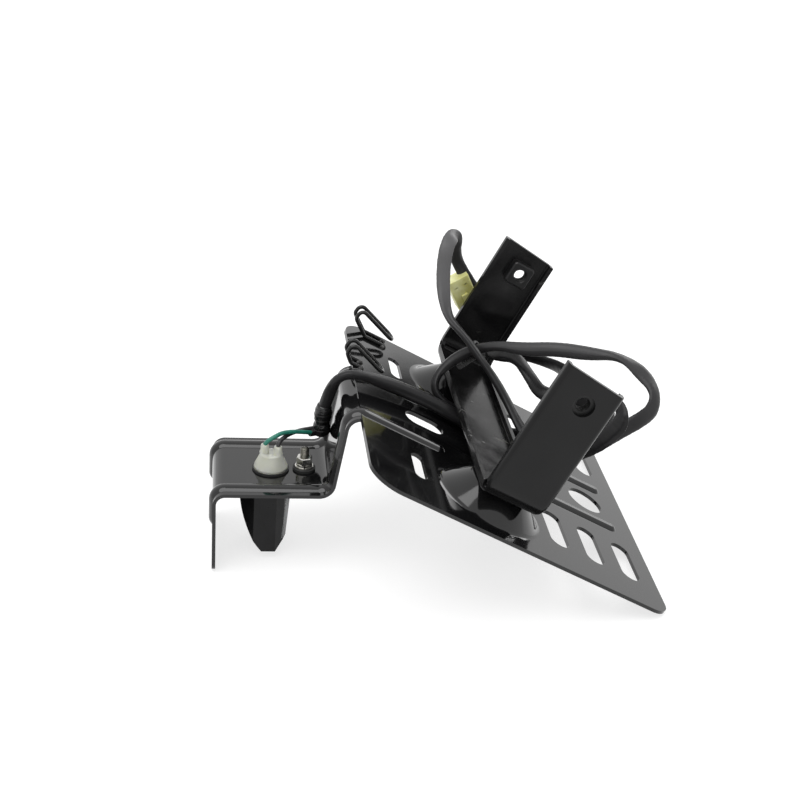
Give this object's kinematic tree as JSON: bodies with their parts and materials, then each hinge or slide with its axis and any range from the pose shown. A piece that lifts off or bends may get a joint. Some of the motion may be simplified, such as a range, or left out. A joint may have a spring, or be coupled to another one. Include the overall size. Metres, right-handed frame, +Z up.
{
  "type": "tail tidy",
  "caption": "Pressed black number plate carrier with folded lamp shelf, U-shaped channel bracket with weld nuts, wire cable hooks, plate lamp and sleeved harness.",
  "frame": {"origin": "bottom centre of the box round the rigid pieces, on the surface that the part stands on", "axes": "+Z up, +X from the lamp shelf toward the plate's lower edge, +Y across the plate to the side with the wire hooks"},
  "size_m": [0.2533, 0.2111, 0.1543],
  "materials": {
    "carrier_sheet": "gloss black coating",
    "bracket_sheet": "satin black coating",
    "weld_nuts": "satin black coating",
    "hook_wire": "semi-gloss black coating",
    "black_rubber": "matt",
    "lamp_plastic": "satin black",
    "lamp_lens": "clear, slightly hazed",
    "bulb_glass": "clear",
    "pale_rubber": "milky, translucent",
    "zinc_steel": "zinc plated",
    "green_wire": "satin teal green",
    "black_wire": "satin black",
    "sleeve_pvc": "soft satin black",
    "tape": "black tape",
    "connector_nylon": "pale cream",
    "terminal_brass": "plain",
    "tie_nylon": "satin black"
  },
  "bodies": {
    "root": {"number_plate_carrier": "carrier_sheet", "mounting_bracket": "bracket_sheet", "weld_nut_near": "weld_nuts", "weld_nut_far": "weld_nuts", "cable_hook_far": "hook_wire", "cable_hook_mid": "hook_wire", "lamp_pad": "black_rubber", "holder_gasket": "black_rubber", "rubber_washer": "black_rubber", "lamp_housing": "lamp_plastic", "lamp_lens": "lamp_lens", "bulb": "bulb_glass", "bulb_holder": "pale_rubber", "lamp_stud": "zinc_steel", "lamp_nut": "zinc_steel", "spring_washer": "zinc_steel", "flat_washer": "zinc_steel", "wire_green": "green_wire", "wire_black": "black_wire", "harness_sleeve": "sleeve_pvc", "sleeve_collar": "tape", "connector": "connector_nylon", "connector_terminals": "terminal_brass", "cable_tie": "tie_nylon"}
  },
  "joints": []
}
